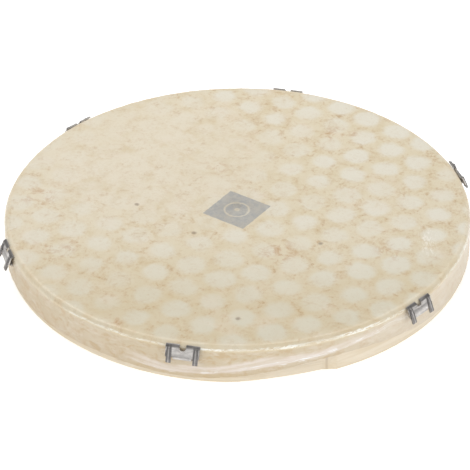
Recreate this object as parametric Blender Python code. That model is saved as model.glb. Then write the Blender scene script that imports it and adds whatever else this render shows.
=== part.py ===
"""A tunable frame drum: a rawhide head on a low bent-wood frame, held by six steel claws.

The row frame is in metres, +Z up. The origin is the centre of the frame's bottom edge, which the drum
rests on, and the playing face is on top. Each tension station stands in the X-Z plane of its own empty,
with x along the radius, and the empties are turned round Z.
"""

import math

import bmesh
import bpy
from mathutils import Matrix, Vector

MM = 0.001

# Driving dimensions.
HEAD_R = 200 * MM  # outside of the rawhide, so the drum is 400 mm across
DRUM_H = 36 * MM  # bottom edge to playing face
SKIN_T = 0.8 * MM
GAP = 0.3 * MM  # left between pieces that rest on each other
STATIONS = 6
FIRST_STATION_DEG = -103.4
STATION_OFF_DEG = (0.9, -0.4, -0.2, -0.4, -0.6, 0.9)  # the stations are marked out by hand
FACETS = 72

# Rawhide head.
RIM_ROUND = 4.5 * MM
SKIRT_MEAN_Z = 5.5 * MM  # the skirt's hand-cut lower edge waves about this height

# Bent-wood frame: an inner shell with the bearing edge, and a lower ring glued round it.
SHELL_T = 6 * MM
SHELL_OUT = 189.5 * MM
SHELL_TOP = DRUM_H - SKIN_T - GAP
BEARING_ROUND = 2.4 * MM
RING_OUT = HEAD_R - SKIN_T - GAP
RING_TOP = 19 * MM
EDGE_CHAMFER = 0.8 * MM
LAP_DEG = -69.0  # where the lower ring's outer end overlaps
LAP_RUN_DEG = 26.0  # length of the flattened stretch that runs up to the overlap
LAP_EVEN = 0.3  # share of that stretch, next to the overlap, that has the whole depth
LAP_STEP = 4.0 * MM

# Flesh hoop, under the rawhide at the rim.
HOOP_BOTTOM = 28 * MM
HOOP_SLIP = 0.5 * MM

# Tension station, in its own X-Z plane.
SCREW_X = 173.5 * MM
THREAD_R = 3 * MM  # M6
BORE_R = 3.4 * MM
CLAW_T = 1.2 * MM
CLAW_W = 27.4 * MM
CLAW_BEND = 0.8 * MM  # inside radius of the claw's bends
FINGER_TIP = (199.2 * MM, 34.4 * MM)
KNEE = (201.3 * MM, 33.5 * MM)
PLATE_SLOPE_DEG = 23  # the plate stands off the rim towards its lower edge
PLATE_END_Z = 26.4 * MM
NOTCH_R = 2.7 * MM
NOTCH_Z = 34 * MM
LEG_W = 4 * MM
LEG_INSET = 0.9 * MM  # from the claw's side edges
LEG_T = 2.1 * MM
LEG_START = 2.2 * MM  # from the knee, along the plate's slope
LEG_END = 13.1 * MM
LEG_ROUND = 0.7 * MM
LEG_SUNK = 0.2 * MM  # each leg's inner face lies this deep in the plate
HEEL_X = 201.2 * MM
TONGUE_Z = 21.8 * MM
TONGUE_W = 15 * MM
TONGUE_END = 166.5 * MM
NUT_SIDE = 10 * MM
NUT_H = 5 * MM
BRACKET_T = 2.5 * MM
BRACKET_W = 24 * MM
BRACKET_BEND = 1 * MM
SHELF_Z = 8.2 * MM
SHELF_END = 165.5 * MM
BRACKET_TOP = 19.4 * MM
WASHER_R = 6 * MM
WASHER_T = 1.2 * MM
CAP_R = 5 * MM
CAP_H = 5.4 * MM
SOCKET_AF = 5 * MM
SOCKET_DEPTH = 3 * MM
SHANK_TOP = 30 * MM
WOOD_SCREW_Y = 8 * MM
WOOD_SCREW_Z = 14.6 * MM
WOOD_SCREW_R = 1.6 * MM
WOOD_SCREW_LENGTH = 7 * MM
WOOD_HEAD_R = 3 * MM
WOOD_HEAD_H = 1.8 * MM
CUT_PAST = 1 * MM  # how far a drilled hole's cutter runs past the face
CUT_WIDE = 5 * MM
SOFT_EDGE = 0.5 * MM

# The slots that the claws' tongues slide in.
SLOT_BOTTOM = TONGUE_Z - 1 * MM
SLOT_W = TONGUE_W + 1.2 * MM

# Worked-out faces that several pieces share.
SHELL_IN = SHELL_OUT - SHELL_T
WASHER_Z = SHELF_Z - GAP - WASHER_T
CAP_TOP = WASHER_Z - GAP
BRACKET_BACK = SHELL_IN - GAP
BRACKET_FACE = BRACKET_BACK - BRACKET_T
# A flat bracket as wide as this stands off the shell's round wall by so much at its middle.
WALL_SAGITTA = SHELL_IN - math.sqrt(SHELL_IN**2 - (BRACKET_W / 2) ** 2)
BRACKET_SEAT = BRACKET_FACE - WALL_SAGITTA


def clear_scene():
    for obj in list(bpy.data.objects):
        bpy.data.objects.remove(obj, do_unlink=True)


def material(name, colour, roughness, metallic=0.0):
    mat = bpy.data.materials.new(name)
    mat.use_nodes = True
    shader = mat.node_tree.nodes["Principled BSDF"]
    shader.inputs["Base Color"].default_value = (*colour, 1.0)
    shader.inputs["Roughness"].default_value = roughness
    shader.inputs["Metallic"].default_value = metallic
    mat.diffuse_color = (*colour, 1.0)
    return mat


def new_object(name, bm, mat=None, parent=None, at=(0, 0, 0), smooth=True):
    """Makes a mesh object from bm, whose points are in the parent's frame, with its origin at `at`."""
    bmesh.ops.remove_doubles(bm, verts=bm.verts, dist=0.01 * MM)
    bmesh.ops.recalc_face_normals(bm, faces=bm.faces)
    bmesh.ops.translate(bm, verts=bm.verts, vec=[-c for c in at])
    mesh = bpy.data.meshes.new(name)
    bm.to_mesh(mesh)
    bm.free()
    if mat:
        mesh.materials.append(mat)
    if smooth:
        mesh.shade_smooth()
        mesh.set_sharp_from_angle(angle=math.radians(35))
    obj = bpy.data.objects.new(name, mesh)
    obj.location = at
    obj.parent = parent
    bpy.context.scene.collection.objects.link(obj)
    return obj


def arc(cx, cz, radius, start_deg, end_deg, steps):
    """Points of an arc in the X-Z plane, both ends included."""
    angles = [math.radians(start_deg + (end_deg - start_deg) * i / steps) for i in range(steps + 1)]
    return [(cx + radius * math.cos(a), cz + radius * math.sin(a)) for a in angles]


def lathe(profile, facets=FACETS, shape=None, closed=True):
    """Turns a profile of (radius, z) round Z. An open profile starts and ends on the axis.

    shape(radius, z, angle) gives each point's own radius and z at that angle.
    """
    bm = bmesh.new()
    on_axis = {i: bm.verts.new((0, 0, z)) for i, (r, z) in enumerate(profile) if r == 0}
    columns = []
    for step in range(facets):
        angle = 2 * math.pi * step / facets
        column = []
        for i, (r, z) in enumerate(profile):
            if i in on_axis:
                column.append(on_axis[i])
                continue
            if shape:
                r, z = shape(r, z, angle)
            column.append(bm.verts.new((r * math.cos(angle), r * math.sin(angle), z)))
        columns.append(column)
    ends = len(profile) if closed else len(profile) - 1
    for step in range(facets):
        here, after = columns[step], columns[(step + 1) % facets]
        for i in range(ends):
            j = (i + 1) % len(profile)
            corners = [here[i], here[j], after[j], after[i]]
            face = [v for n, v in enumerate(corners) if v not in corners[:n]]
            bm.faces.new(face)
    return bm


def prism(outline, y_low, y_high):
    """A closed outline in the X-Z plane, extruded along Y."""
    bm = bmesh.new()
    face = bm.faces.new([bm.verts.new((x, y_low, z)) for x, z in outline])
    made = bmesh.ops.extrude_face_region(bm, geom=[face], use_keep_orig=True)
    top = [v for v in made["geom"] if isinstance(v, bmesh.types.BMVert)]
    bmesh.ops.translate(bm, verts=top, vec=(0, y_high - y_low, 0))
    return bm


def bar(x_span, y_span, z_span):
    """A rectangular block from its low and high faces."""
    (x0, x1), (z0, z1) = x_span, z_span
    return prism([(x0, z0), (x1, z0), (x1, z1), (x0, z1)], *y_span)


def bent_strip(path, thickness, bend, steps=3):
    """Outline of a sheet that follows path, which is the sheet's left face, with a bend at each corner.

    bend is the inside radius of every bend, whichever way it turns.
    """
    points = [Vector(p) for p in path]
    left, right = [points[0]], []
    run = (points[1] - points[0]).normalized()
    right.append(points[0] + thickness * Vector((run.y, -run.x)))
    for before, corner, after in zip(points, points[1:], points[2:]):
        come, go = (corner - before).normalized(), (after - corner).normalized()
        turn = come.angle_signed(go)  # positive to the right
        near_r = bend if turn < 0 else bend + thickness  # of the left face
        side = 1 if turn < 0 else -1  # the bend's centre is on the left face's outer side or under it
        start = corner - come * near_r * math.tan(abs(turn) / 2)
        centre = start + side * near_r * Vector((-come.y, come.x))
        for step in range(steps + 1):
            angle = -turn * step / steps
            spoke = Matrix.Rotation(angle, 2) @ (start - centre).normalized()
            left.append(centre + near_r * spoke)
            right.append(centre + (near_r + side * thickness) * spoke)
    run = (points[-1] - points[-2]).normalized()
    left.append(points[-1])
    right.append(points[-1] + thickness * Vector((run.y, -run.x)))
    return [tuple(p) for p in left + right[::-1]]


def rod(radius, z_low, z_high, at_x=0.0, at_y=0.0, sides=16, along_x=False):
    """A round rod along Z, or along X when along_x is set.

    Along X, z_low and z_high are the x values of its ends, and at_x is its height.
    """
    bm = bmesh.new()
    bmesh.ops.create_cone(
        bm, cap_ends=True, segments=sides, radius1=radius, radius2=radius, depth=z_high - z_low
    )
    bmesh.ops.translate(bm, verts=bm.verts, vec=(0, 0, (z_low + z_high) / 2))
    if along_x:
        bmesh.ops.rotate(bm, verts=bm.verts, matrix=Matrix.Rotation(math.radians(90), 3, "Y"))
        bmesh.ops.translate(bm, verts=bm.verts, vec=(0, at_y, at_x))
    else:
        bmesh.ops.translate(bm, verts=bm.verts, vec=(at_x, at_y, 0))
    return bm


def boolean(obj, other_bm, operation, parent=None, name="cutter"):
    """Joins or cuts obj with a hidden helper made from other_bm."""
    helper = new_object(f"{name}_{len(bpy.data.objects)}", other_bm, parent=parent, smooth=False)
    helper.hide_render = True
    helper.display_type = "WIRE"
    modifier = obj.modifiers.new(name, "BOOLEAN")
    modifier.operation = operation
    modifier.solver = "EXACT"
    modifier.object = helper
    return helper


def skirt_edge(angle):
    """Height of the rawhide's hand-cut lower edge, which climbs on the side of the lap."""
    wander = 1.1 * math.sin(5 * angle + 0.6) + 0.7 * math.sin(9 * angle + 2.0)
    climb = 10 * math.exp(-(((math.degrees(angle) + 180) % 360 - 180 + 66) / 20) ** 2)
    return SKIRT_MEAN_Z + (wander * 0.8 + climb) * MM


def skin_shape(r, z, angle):
    return (r, skirt_edge(angle)) if z == 0 else (r, z)


def lap_shape(r, z, angle):
    """Flattens the lower ring's outer face where it runs up to the overlapping end."""
    before = (LAP_DEG - math.degrees(angle)) % 360
    if r < RING_OUT - EDGE_CHAMFER * 1.5 or before > LAP_RUN_DEG:
        return r, z
    share = min(1.0, (1 - before / LAP_RUN_DEG) / (1 - LAP_EVEN))
    return r - LAP_STEP * share * share * (3 - 2 * share), z


def make_skin(mat):
    """Membrane, rounded rim and skirt as one piece; z = 0 in the profile marks the hand-cut edge."""
    centre_r, centre_z = HEAD_R - RIM_ROUND, DRUM_H - RIM_ROUND
    outside = [(0, DRUM_H), (HEAD_R / 2, DRUM_H)]
    outside += arc(centre_r, centre_z, RIM_ROUND, 90, 0, 5)
    outside.append((HEAD_R, 0))
    inside = [(HEAD_R - SKIN_T, 0)]
    inside += arc(centre_r, centre_z, RIM_ROUND - SKIN_T, 0, 90, 5)
    inside += [(HEAD_R / 2, DRUM_H - SKIN_T), (0, DRUM_H - SKIN_T)]
    return new_object("rawhide_head", lathe(outside + inside, shape=skin_shape, closed=False), mat)


def make_shell(mat):
    """Inner bent-wood shell; the head bears on its rounded top edge."""
    profile = [(SHELL_IN + EDGE_CHAMFER, 0), (SHELL_OUT, 0)]
    profile += arc(SHELL_OUT - BEARING_ROUND, SHELL_TOP - BEARING_ROUND, BEARING_ROUND, 0, 90, 3)
    profile += [(SHELL_IN + EDGE_CHAMFER, SHELL_TOP), (SHELL_IN, SHELL_TOP - EDGE_CHAMFER)]
    profile.append((SHELL_IN, EDGE_CHAMFER))
    return new_object("shell_ring", lathe(profile), mat)


def make_lower_ring(mat):
    """Outer bent-wood ring round the shell's lower half, with its lap joint."""
    inner, bevel = SHELL_OUT + GAP, EDGE_CHAMFER
    profile = [
        (inner, 0), (RING_OUT - bevel, 0), (RING_OUT, bevel),
        (RING_OUT, RING_TOP - bevel), (RING_OUT - bevel, RING_TOP), (inner, RING_TOP),
    ]
    facets = 3 * FACETS // 2
    return new_object("lower_ring", lathe(profile, facets=facets, shape=lap_shape), mat)


def make_flesh_hoop(mat):
    """Hoop that the rawhide is lapped over; its outer top corner follows the rim's rounding."""
    outer, round_r = HEAD_R - SKIN_T - GAP, RIM_ROUND - SKIN_T - GAP
    profile = [(SHELL_OUT + HOOP_SLIP, HOOP_BOTTOM), (outer, HOOP_BOTTOM)]
    profile += arc(HEAD_R - RIM_ROUND, DRUM_H - RIM_ROUND, round_r, 0, 90, 4)
    profile.append((SHELL_OUT + HOOP_SLIP, SHELL_TOP))
    return new_object("flesh_hoop", lathe(profile), mat)


def down_plate(distance, proud=0.0):
    """A point on the claw's plate: distance below the knee along its slope, and proud of its inner face."""
    slope = math.radians(PLATE_SLOPE_DEG)
    return (
        KNEE[0] + distance * math.sin(slope) + proud * math.cos(slope),
        KNEE[1] - distance * math.cos(slope) + proud * math.sin(slope),
    )


def claw_strip():
    """Fingers, plate and tongue: one strip, which goes over the rim, down, and back in through the slot."""
    fold = down_plate((KNEE[1] - PLATE_END_Z) / math.cos(math.radians(PLATE_SLOPE_DEG)) + CLAW_T)
    tongue_top = TONGUE_Z + CLAW_T
    path = [FINGER_TIP, KNEE, fold, (HEEL_X, tongue_top), (TONGUE_END, tongue_top)]
    return prism(bent_strip(path[::-1], CLAW_T, CLAW_BEND), -CLAW_W / 2, CLAW_W / 2)


def claw_leg(side):
    """One of the claw's two thick side ribs, which run on below the plate."""
    outline = [
        down_plate(LEG_START, LEG_SUNK),
        down_plate(LEG_END - LEG_ROUND, LEG_SUNK),
        down_plate(LEG_END, LEG_SUNK + LEG_ROUND),
        down_plate(LEG_END, LEG_T - LEG_ROUND),
        down_plate(LEG_END - LEG_ROUND, LEG_T),
        down_plate(LEG_START + LEG_T, LEG_T),
    ]
    y_out = side * (CLAW_W / 2 - LEG_INSET)
    y_in = y_out - side * LEG_W
    return prism(outline, min(y_in, y_out), max(y_in, y_out))


def make_claw(name, station, mat):
    claw = new_object(name, claw_strip(), mat, station, at=(SCREW_X, 0, TONGUE_Z))
    for side in (-1, 1):
        y_in, y_out = side * TONGUE_W / 2, side * CLAW_W
        beside_tongue = bar(
            (TONGUE_END - CLAW_W, HEAD_R + CLAW_W), (min(y_in, y_out), max(y_in, y_out)), (0, PLATE_END_Z)
        )
        boolean(claw, beside_tongue, "DIFFERENCE", station)
        boolean(claw, claw_leg(side), "UNION", station, "leg")
    notch = bar((HEAD_R - CLAW_W, HEAD_R + CLAW_W), (-NOTCH_R, NOTCH_R), (NOTCH_Z, DRUM_H + CLAW_W))
    boolean(claw, notch, "DIFFERENCE", station, "notch")
    round_end = rod(NOTCH_R, HEAD_R - CLAW_W / 4, HEAD_R + CLAW_W / 4, at_x=NOTCH_Z, along_x=True)
    boolean(claw, round_end, "DIFFERENCE", station, "notch_end")
    hole = rod(BORE_R, TONGUE_Z - CUT_PAST, TONGUE_Z + CLAW_T + CUT_PAST, SCREW_X)
    boolean(claw, hole, "DIFFERENCE", station, "hole")


def make_nut(name, station, mat):
    low = TONGUE_Z + CLAW_T + GAP
    half = NUT_SIDE / 2
    nut = new_object(
        name,
        bar((SCREW_X - half, SCREW_X + half), (-half, half), (low, low + NUT_H)),
        mat, station, at=(SCREW_X, 0, low),
    )
    bevel = nut.modifiers.new("corners", "BEVEL")
    bevel.width = SOFT_EDGE
    bevel.segments = 1
    boolean(nut, rod(BORE_R, low - CUT_PAST, low + NUT_H + CUT_PAST, SCREW_X), "DIFFERENCE", station)


def make_screw(name, station, mat):
    """Socket-head screw, head down, turned from the open back of the drum."""
    low, bevel = CAP_TOP - CAP_H, SOFT_EDGE
    profile = [
        (0, low), (CAP_R - bevel, low), (CAP_R, low + bevel), (CAP_R, CAP_TOP),
        (THREAD_R, CAP_TOP), (THREAD_R, SHANK_TOP - bevel), (THREAD_R - bevel, SHANK_TOP), (0, SHANK_TOP),
    ]
    bm = lathe(profile, facets=18, closed=False)
    bmesh.ops.translate(bm, verts=bm.verts, vec=(SCREW_X, 0, 0))
    screw = new_object(name, bm, mat, station, at=(SCREW_X, 0, low))
    socket = rod(SOCKET_AF / math.sqrt(3), low - CUT_PAST, low + SOCKET_DEPTH, SCREW_X, sides=6)
    boolean(screw, socket, "DIFFERENCE", station, "socket")


def make_washer(name, station, mat):
    top = WASHER_Z + WASHER_T
    profile = [(BORE_R, WASHER_Z), (WASHER_R, WASHER_Z), (WASHER_R, top), (BORE_R, top)]
    bm = lathe(profile, facets=18)
    bmesh.ops.translate(bm, verts=bm.verts, vec=(SCREW_X, 0, 0))
    new_object(name, bm, mat, station, at=(SCREW_X, 0, WASHER_Z))


def make_bracket(name, station, mat):
    """Angle bracket inside the shell, whose shelf takes the screw's pull."""
    back = BRACKET_SEAT + BRACKET_T
    shelf_top = SHELF_Z + BRACKET_T
    path = [(SHELF_END, shelf_top), (BRACKET_SEAT, shelf_top), (BRACKET_SEAT, BRACKET_TOP)]
    outline = bent_strip(path, BRACKET_T, BRACKET_BEND)
    bracket = new_object(
        name, prism(outline, -BRACKET_W / 2, BRACKET_W / 2), mat, station, at=(back, 0, SHELF_Z)
    )
    hole = rod(BORE_R, SHELF_Z - CUT_PAST, shelf_top + CUT_PAST, SCREW_X)
    boolean(bracket, hole, "DIFFERENCE", station)
    for side in (-1, 1):
        through = wood_screw_hole(side, BRACKET_SEAT - CUT_PAST, back + CUT_PAST)
        boolean(bracket, through, "DIFFERENCE", station)


def wood_screw_hole(side, x_low, x_high):
    return rod(
        WOOD_SCREW_R + GAP, x_low, x_high, at_x=WOOD_SCREW_Z, at_y=side * WOOD_SCREW_Y, sides=12, along_x=True
    )


def make_wood_screw(name, station, mat, side):
    """Round-head screw that holds the bracket to the shell."""
    face = BRACKET_SEAT - GAP
    r, head = WOOD_SCREW_R, WOOD_HEAD_R
    profile = [(0, -WOOD_HEAD_H), (head * 0.6, -WOOD_HEAD_H * 0.85), (head, -WOOD_HEAD_H * 0.25), (head, 0)]
    profile += [(r, 0), (r, WOOD_SCREW_LENGTH - 2 * r), (0, WOOD_SCREW_LENGTH)]
    bm = lathe(profile, facets=12, closed=False)
    bmesh.ops.rotate(bm, verts=bm.verts, matrix=Matrix.Rotation(math.radians(90), 3, "Y"))
    bmesh.ops.translate(bm, verts=bm.verts, vec=(face, side * WOOD_SCREW_Y, WOOD_SCREW_Z))
    new_object(name, bm, mat, station, at=(face, side * WOOD_SCREW_Y, WOOD_SCREW_Z))


def cut_station(shell, skin, station):
    """The claw's slot through shell and rawhide, and the wood screws' holes in the shell."""
    half = SLOT_W / 2
    wide = bar((SHELL_IN - CUT_WIDE, SHELL_OUT + CUT_WIDE), (-half, half), (SLOT_BOTTOM, HOOP_BOTTOM))
    boolean(shell, wide, "DIFFERENCE", station, "slot")
    slit = bar((HEAD_R - CUT_WIDE, HEAD_R + CUT_WIDE), (-half, half), (SLOT_BOTTOM, HOOP_BOTTOM))
    boolean(skin, slit, "DIFFERENCE", station, "slit")
    end = BRACKET_SEAT - GAP + WOOD_SCREW_LENGTH + GAP
    for side in (-1, 1):
        boolean(shell, wood_screw_hole(side, SHELL_IN - CUT_WIDE, end), "DIFFERENCE", station)


def main():
    clear_scene()
    rawhide = material("rawhide", (0.80, 0.70, 0.53), 0.42)
    light_wood = material("light_wood", (0.72, 0.55, 0.36), 0.55)
    zinc = material("zinc_plated_steel", (0.55, 0.55, 0.56), 0.35, metallic=1.0)
    bright = material("bright_steel", (0.66, 0.66, 0.67), 0.25, metallic=1.0)
    skin = make_skin(rawhide)
    shell = make_shell(light_wood)
    make_lower_ring(light_wood)
    make_flesh_hoop(light_wood)
    for number in range(1, STATIONS + 1):
        station = bpy.data.objects.new(f"station_{number}", None)
        turn = FIRST_STATION_DEG + (number - 1) * 360 / STATIONS + STATION_OFF_DEG[number - 1]
        station.rotation_euler.z = math.radians(turn)
        bpy.context.scene.collection.objects.link(station)
        make_claw(f"claw_{number}", station, zinc)
        make_nut(f"square_nut_{number}", station, bright)
        make_screw(f"tension_screw_{number}", station, bright)
        make_washer(f"washer_{number}", station, bright)
        make_bracket(f"bracket_{number}", station, zinc)
        for side, letter in ((-1, "a"), (1, "b")):
            make_wood_screw(f"wood_screw_{number}{letter}", station, bright, side)
        cut_station(shell, skin, station)


main()
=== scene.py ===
"""Looks of the frame drum: rawhide head, wood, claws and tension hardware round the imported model.

Everything is in metres in the model's own frame: +Z up, the origin under the drum's centre.
"""

import math

import bmesh
import bpy
from mathutils import Matrix, Vector, noise


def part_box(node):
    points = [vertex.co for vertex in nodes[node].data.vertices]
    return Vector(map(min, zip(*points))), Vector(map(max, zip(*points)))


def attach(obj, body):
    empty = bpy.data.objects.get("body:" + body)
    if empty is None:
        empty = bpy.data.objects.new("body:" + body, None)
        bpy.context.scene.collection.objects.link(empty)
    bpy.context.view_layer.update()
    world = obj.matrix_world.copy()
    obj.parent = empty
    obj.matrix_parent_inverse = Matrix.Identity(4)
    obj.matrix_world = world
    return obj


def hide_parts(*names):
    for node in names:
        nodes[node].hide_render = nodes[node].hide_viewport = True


MM = 0.001

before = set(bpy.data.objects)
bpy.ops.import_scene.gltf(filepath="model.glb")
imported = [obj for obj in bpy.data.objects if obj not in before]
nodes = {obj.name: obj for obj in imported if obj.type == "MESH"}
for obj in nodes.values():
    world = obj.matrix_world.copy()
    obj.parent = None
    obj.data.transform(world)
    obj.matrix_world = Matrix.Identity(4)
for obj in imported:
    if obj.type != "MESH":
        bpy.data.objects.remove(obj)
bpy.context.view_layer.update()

# Sizes read from the frame.
_, HEAD_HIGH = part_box("rawhide_head")
HEAD_R = HEAD_HIGH.x
DRUM_H = HEAD_HIGH.z
STATIONS = 6


def middle(name):
    low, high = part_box(name)
    return (low + high) / 2


def heading(name):
    """Direction of a node round Z, in radians."""
    at = middle(name)
    return math.atan2(at.y, at.x)


STATION_ANGLES = [heading(f"tension_screw_{i}") for i in range(1, STATIONS + 1)]

# The head's own sizes, as the model has them.
RIM_ROUND = 4.5 * MM
SKIN_T = 0.8 * MM
SLOT_LOW, SLOT_HIGH = 20.8 * MM, 27.2 * MM
SLOT_W = 16.2 * MM
SKIRT_MEAN_Z = 5.5 * MM
LAP_DEG = -69.0

# The skin's own unevenness.
SLACK = 0.22 * MM
FOLD_DEPTH = 0.42 * MM
FOLD_START, FOLD_REACH = 176 * MM, 20 * MM
CLAW_HALF_DEG = 5.0
HEAD_COLUMNS = 900


# ---------------------------------------------------------------- shader helpers


def srgb(red, green, blue):
    """A colour of 0 to 255 parts as linear light."""
    parts = [c / 255 for c in (red, green, blue)]
    return [c / 12.92 if c <= 0.04045 else ((c + 0.055) / 1.055) ** 2.4 for c in parts] + [1.0]


class Shader:
    """A material's node tree, written as calls that return sockets."""

    def __init__(self, name):
        self.material = bpy.data.materials.new(name)
        self.material.use_nodes = True
        self.tree = self.material.node_tree
        self.surface = self.tree.nodes["Principled BSDF"]

    def node(self, kind, inputs=(), **settings):
        made = self.tree.nodes.new(kind)
        for key, value in settings.items():
            setattr(made, key, value)
        for socket, value in dict(inputs).items():
            self.put(made.inputs[socket], value)
        return made

    def put(self, socket, value):
        if isinstance(value, bpy.types.NodeSocket):
            self.tree.links.new(value, socket)
        else:
            socket.default_value = value

    def set(self, **values):
        for key, value in values.items():
            self.put(self.surface.inputs[key.replace("_", " ")], value)

    def math(self, operation, a, b=0.0, clamp=False):
        made = self.node("ShaderNodeMath", {0: a, 1: b}, operation=operation, use_clamp=clamp)
        return made.outputs[0]

    def add(self, *terms):
        return self.chain("ADD", terms)

    def times(self, *terms):
        return self.chain("MULTIPLY", terms)

    def chain(self, operation, terms):
        total = terms[0]
        for term in terms[1:]:
            total = self.math(operation, total, term)
        return total

    def invert(self, value):
        return self.math("SUBTRACT", 1.0, value, clamp=True)

    def step(self, value, low, high, out_low=0.0, out_high=1.0):
        """Smooth step from out_low where value is low to out_high where value is high."""
        inputs = {"Value": value, "From Min": low, "From Max": high}
        inputs.update({"To Min": out_low, "To Max": out_high})
        made = self.node("ShaderNodeMapRange", inputs, interpolation_type="SMOOTHSTEP")
        return made.outputs["Result"]

    def place(self):
        """The point in the drum's frame."""
        return self.node("ShaderNodeTexCoord").outputs["Object"]

    def split(self, vector):
        return list(self.node("ShaderNodeSeparateXYZ", {0: vector}).outputs)

    def join(self, x, y, z=0.0):
        return self.node("ShaderNodeCombineXYZ", {0: x, 1: y, 2: z}).outputs[0]

    def around(self, vector):
        """(length along the rim, radius, height) of a point."""
        x, y, z = self.split(vector)
        angle = self.math("ARCTAN2", y, x)
        return self.math("MULTIPLY", angle, HEAD_R), self.length(x, y), z

    def noise(self, vector, size, detail=3.0, roughness=0.5, distortion=0.0, seed=0.0):
        """Noise from 0 to 1 whose lumps are about size metres across."""
        inputs = {"Vector": vector, "W": seed, "Scale": 0.5 / size, "Detail": detail}
        inputs.update({"Roughness": roughness, "Distortion": distortion})
        return self.node("ShaderNodeTexNoise", inputs, noise_dimensions="4D").outputs["Fac"]

    def shifted(self, vector, size, reach, seed=0.0):
        """The point moved about by soft noise, so that drawn edges wander."""
        made = self.node(
            "ShaderNodeTexNoise",
            {"Vector": vector, "W": seed, "Scale": 0.5 / size, "Detail": 1.0},
            noise_dimensions="4D",
        )
        centred = self.vector_math("SUBTRACT", {0: made.outputs["Color"], 1: (0.5,) * 3})
        scaled = self.vector_math("SCALE", {0: centred, "Scale": 2 * reach})
        return self.vector_math("ADD", {0: vector, 1: scaled})

    def stretched(self, vector, scales):
        return self.vector_math("MULTIPLY", {0: vector, 1: scales})

    def vector_math(self, operation, inputs):
        return self.node("ShaderNodeVectorMath", inputs, operation=operation).outputs[0]

    def length(self, x, y):
        return self.math("POWER", self.add(self.times(x, x), self.times(y, y)), 0.5)

    def sway(self, along, size, reach, roughness, seed):
        """A length that wanders between about -reach and reach along the rim."""
        lumps = self.noise(self.join(along, 0.0), size, 3.0, roughness, seed=seed)
        return self.times(self.add(lumps, -0.5), 2 * reach)

    def mix(self, share, low, high):
        made = self.node("ShaderNodeMix", {"Factor": share}, data_type="RGBA")
        self.put(made.inputs[6], low)
        self.put(made.inputs[7], high)
        return made.outputs[2]

    def bump(self, height, depth, normal=None):
        """Bump from a height of 0 to 1 that stands for depth metres."""
        inputs = {"Strength": 1.0, "Distance": depth, "Height": height}
        made = self.node("ShaderNodeBump", inputs)
        if normal:
            self.put(made.inputs["Normal"], normal)
        return made.outputs["Normal"]


# ---------------------------------------------------------------- materials

LABEL_CENTRE = (-0.5 * MM, -6.3 * MM)
LABEL_TURN = math.radians(55)
LABEL_HALF = 21.0 * MM
LABEL_RING_R = 10.5 * MM
LABEL_LINE = 1.5 * MM

DISC_PITCH = 31.7 * MM
DISC_R = 11.4 * MM
DISC_SOFT = 3.6 * MM
DISC_TURN = math.radians(18.5)
DISC_ORIGIN = (100.8 * MM, 46.2 * MM)
DISC_WANDER = ((22, 3.4, 2.0), (6, 2.6, 9.0), (2.2, 1.2, 19.0))  # (lump size and reach in mm, seed)

# The disc pattern is faint round this place in plan, up to CLEAR_NEAR, and strong from CLEAR_FAR on.
CLEAR_CENTRE = (-70 * MM, 72 * MM)
CLEAR_NEAR, CLEAR_FAR = 90 * MM, 185 * MM

# Places on the head in plan, in millimetres: (centre, radius) of the freckled patches, and the pores.
FRECKLE_PATCHES = (
    ((94, 115), 13),
    ((103, 65), 9),
    ((-173, 17), 16),
    ((-150, -62), 15),
    ((-20, 60), 11),
    ((35, -70), 13),
    ((128, -70), 12),
    ((-101, -163), 8),
)
DARK_PORES = ((-86.5, 2.9), (0, -162), (69.3, -58), (-37, -41))
# Where the patch of painted streaky glints lies on the head, in plan, in millimetres.
STREAK_GLINT_AT = (159, -20)

# The crease across the skirt, along which the painted sheen and glints run: degrees round the drum, and
# height in millimetres.
CREASE_LINE = ((-117, 11.5), (-108, 9.0), (-98, 9.5), (-83, 16.5), (-67, 20.5), (-52, 26.5))

# Arcs round the drum, in degrees: first and last direction, and how far the arc fades at each end.
CREASE_ARC = (-114, -49, 5.0)
BELOW_ARC = (-116, -50, 4.0)
FILM_SHEEN_ARC = (-62, 40, 16.0)
GLINT_ARC = (-132, -46, 6.0)
FAINT_GLINT_ARC = (-36, 6, 6.0)
GLINT_Z = 32.9 * MM


def disc_field(shader, vector):
    """Distance to the nearest centre of a hexagonal grid, in metres."""
    x, y, _ = shader.split(vector)
    x, y = shader.math("SUBTRACT", x, DISC_ORIGIN[0]), shader.math("SUBTRACT", y, DISC_ORIGIN[1])
    cosine, sine = math.cos(DISC_TURN), math.sin(DISC_TURN)
    along = shader.add(shader.times(x, cosine), shader.times(y, sine))
    across = shader.add(shader.times(y, cosine), shader.times(x, -sine))
    row = DISC_PITCH * math.sqrt(3)
    nearest = None
    for offset in (0.0, 0.5):
        u = shader.add(shader.times(along, 1 / DISC_PITCH), offset + 0.5)
        v = shader.add(shader.times(across, 1 / row), offset + 0.5)
        u = shader.times(shader.add(shader.math("FLOORED_MODULO", u, 1.0), -0.5), DISC_PITCH)
        v = shader.times(shader.add(shader.math("FLOORED_MODULO", v, 1.0), -0.5), row)
        square = shader.add(shader.times(u, u), shader.times(v, v))
        nearest = square if nearest is None else shader.math("MINIMUM", nearest, square)
    return shader.math("POWER", nearest, 0.5)


def spot(shader, vector, centre, radius, soft):
    """1 inside a round spot in plan, 0 outside."""
    x, y, _ = shader.split(vector)
    x, y = shader.math("SUBTRACT", x, centre[0] * MM), shader.math("SUBTRACT", y, centre[1] * MM)
    return shader.step(shader.length(x, y), (radius - soft) * MM, (radius + soft) * MM, 1.0, 0.0)


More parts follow.
